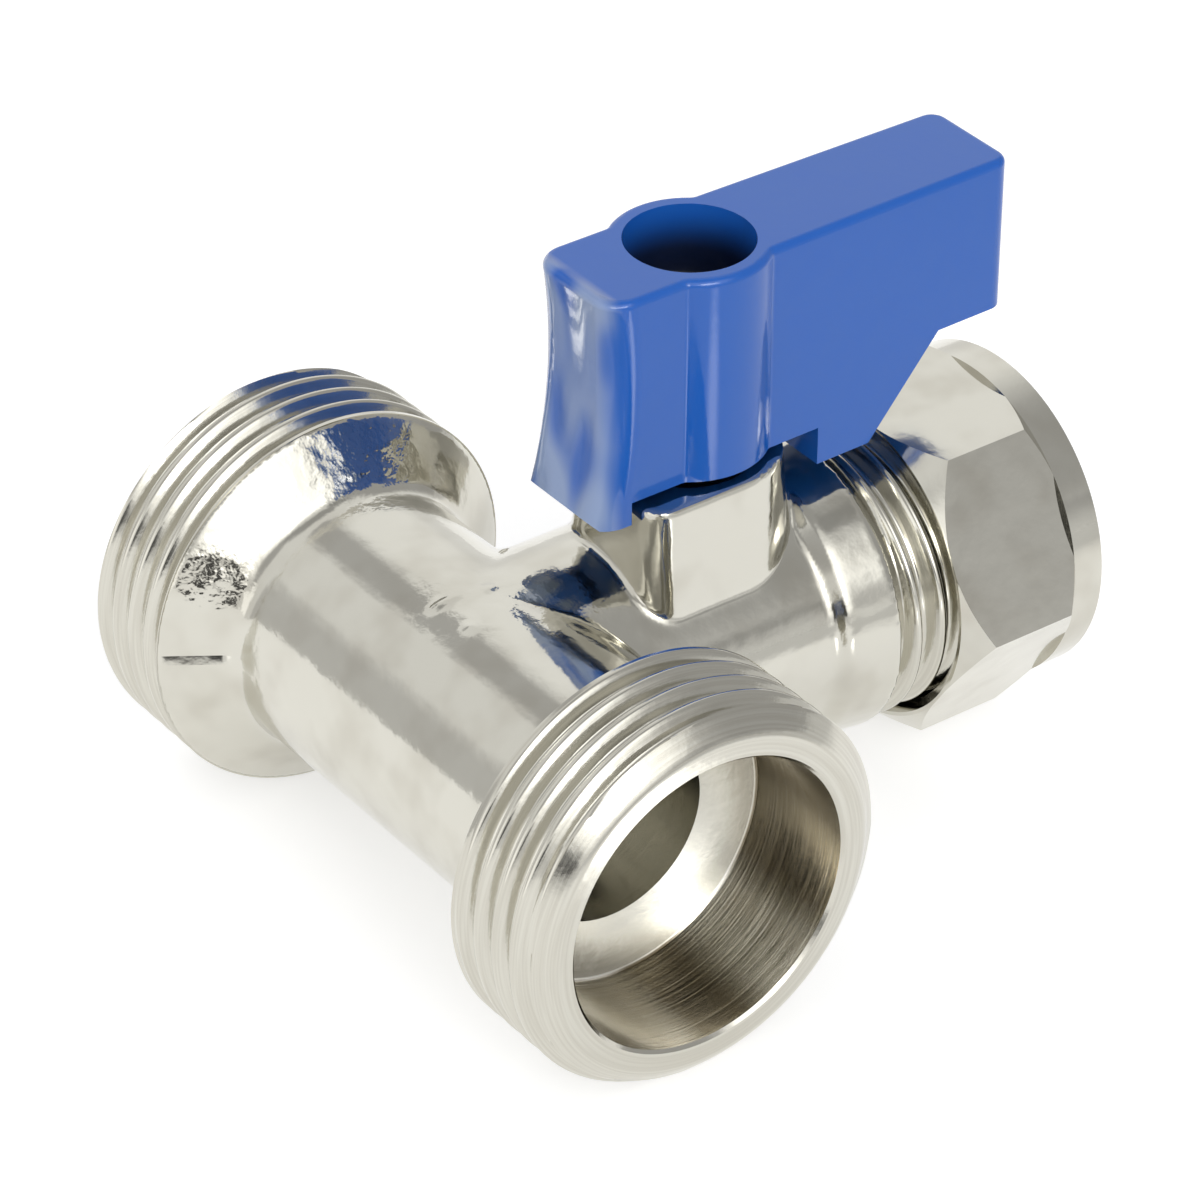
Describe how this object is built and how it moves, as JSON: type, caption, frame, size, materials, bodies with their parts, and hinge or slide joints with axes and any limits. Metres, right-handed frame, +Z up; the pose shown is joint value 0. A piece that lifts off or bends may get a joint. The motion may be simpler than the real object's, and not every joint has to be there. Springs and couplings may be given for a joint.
{
  "type": "washing machine valve",
  "caption": "Quarter-turn tee valve: a compression inlet for copper pipe, hose threads at both ends of a straight run, and a plastic lever on top.",
  "frame": {"origin": "on the inlet's axis, where the end of the supply pipe stops", "axes": "+X out along the supply pipe, +Z up along the stem, +Y out of the rear hose outlet"},
  "size_m": [0.0552, 0.0488, 0.0422],
  "materials": {
    "plated_brass": "bright nickel plate over forged brass",
    "plated_nut": "bright nickel plate over turned brass",
    "plated_ball": "polished chrome plate",
    "blue_plastic": "glossy moulded",
    "bare_brass": "bare turned",
    "white_seat": "waxy white",
    "black_rubber": "smooth black",
    "zinc_steel": "zinc plated"
  },
  "bodies": {
    "valve": {"valve_body": "plated_brass", "seat_outlet": "white_seat", "seat_inlet": "white_seat", "seat_retainer": "bare_brass"},
    "lever": {"handle": "blue_plastic", "handle_screw": "zinc_steel", "stem": "bare_brass", "stem_washer": "white_seat", "stem_seal_lower": "black_rubber", "stem_seal_upper": "black_rubber", "ball": "plated_ball"},
    "olive_ring": {"olive": "bare_brass"},
    "nut": {"compression_nut": "plated_nut"}
  },
  "joints": [
    {"name": "lever_turn", "type": "hinge", "parent": "valve", "child": "lever", "pos_m": [-0.01104, 0, 0], "axis": [0, 0, 1], "range_deg": [-90, 0]},
    {"name": "nut_travel", "type": "slide", "parent": "valve", "child": "olive_ring", "axis": [1, 0, 0], "range_m": [0, 0.005]},
    {"name": "nut_turn", "type": "hinge", "parent": "olive_ring", "child": "nut", "pos_m": [0, 0, 0], "axis": [1, 0, 0], "range_deg": [0, 901]}
  ],
  "couplings": [
    {"joint": "nut_turn", "follows": "nut_travel", "rad_per_m": 3141.6}
  ]
}
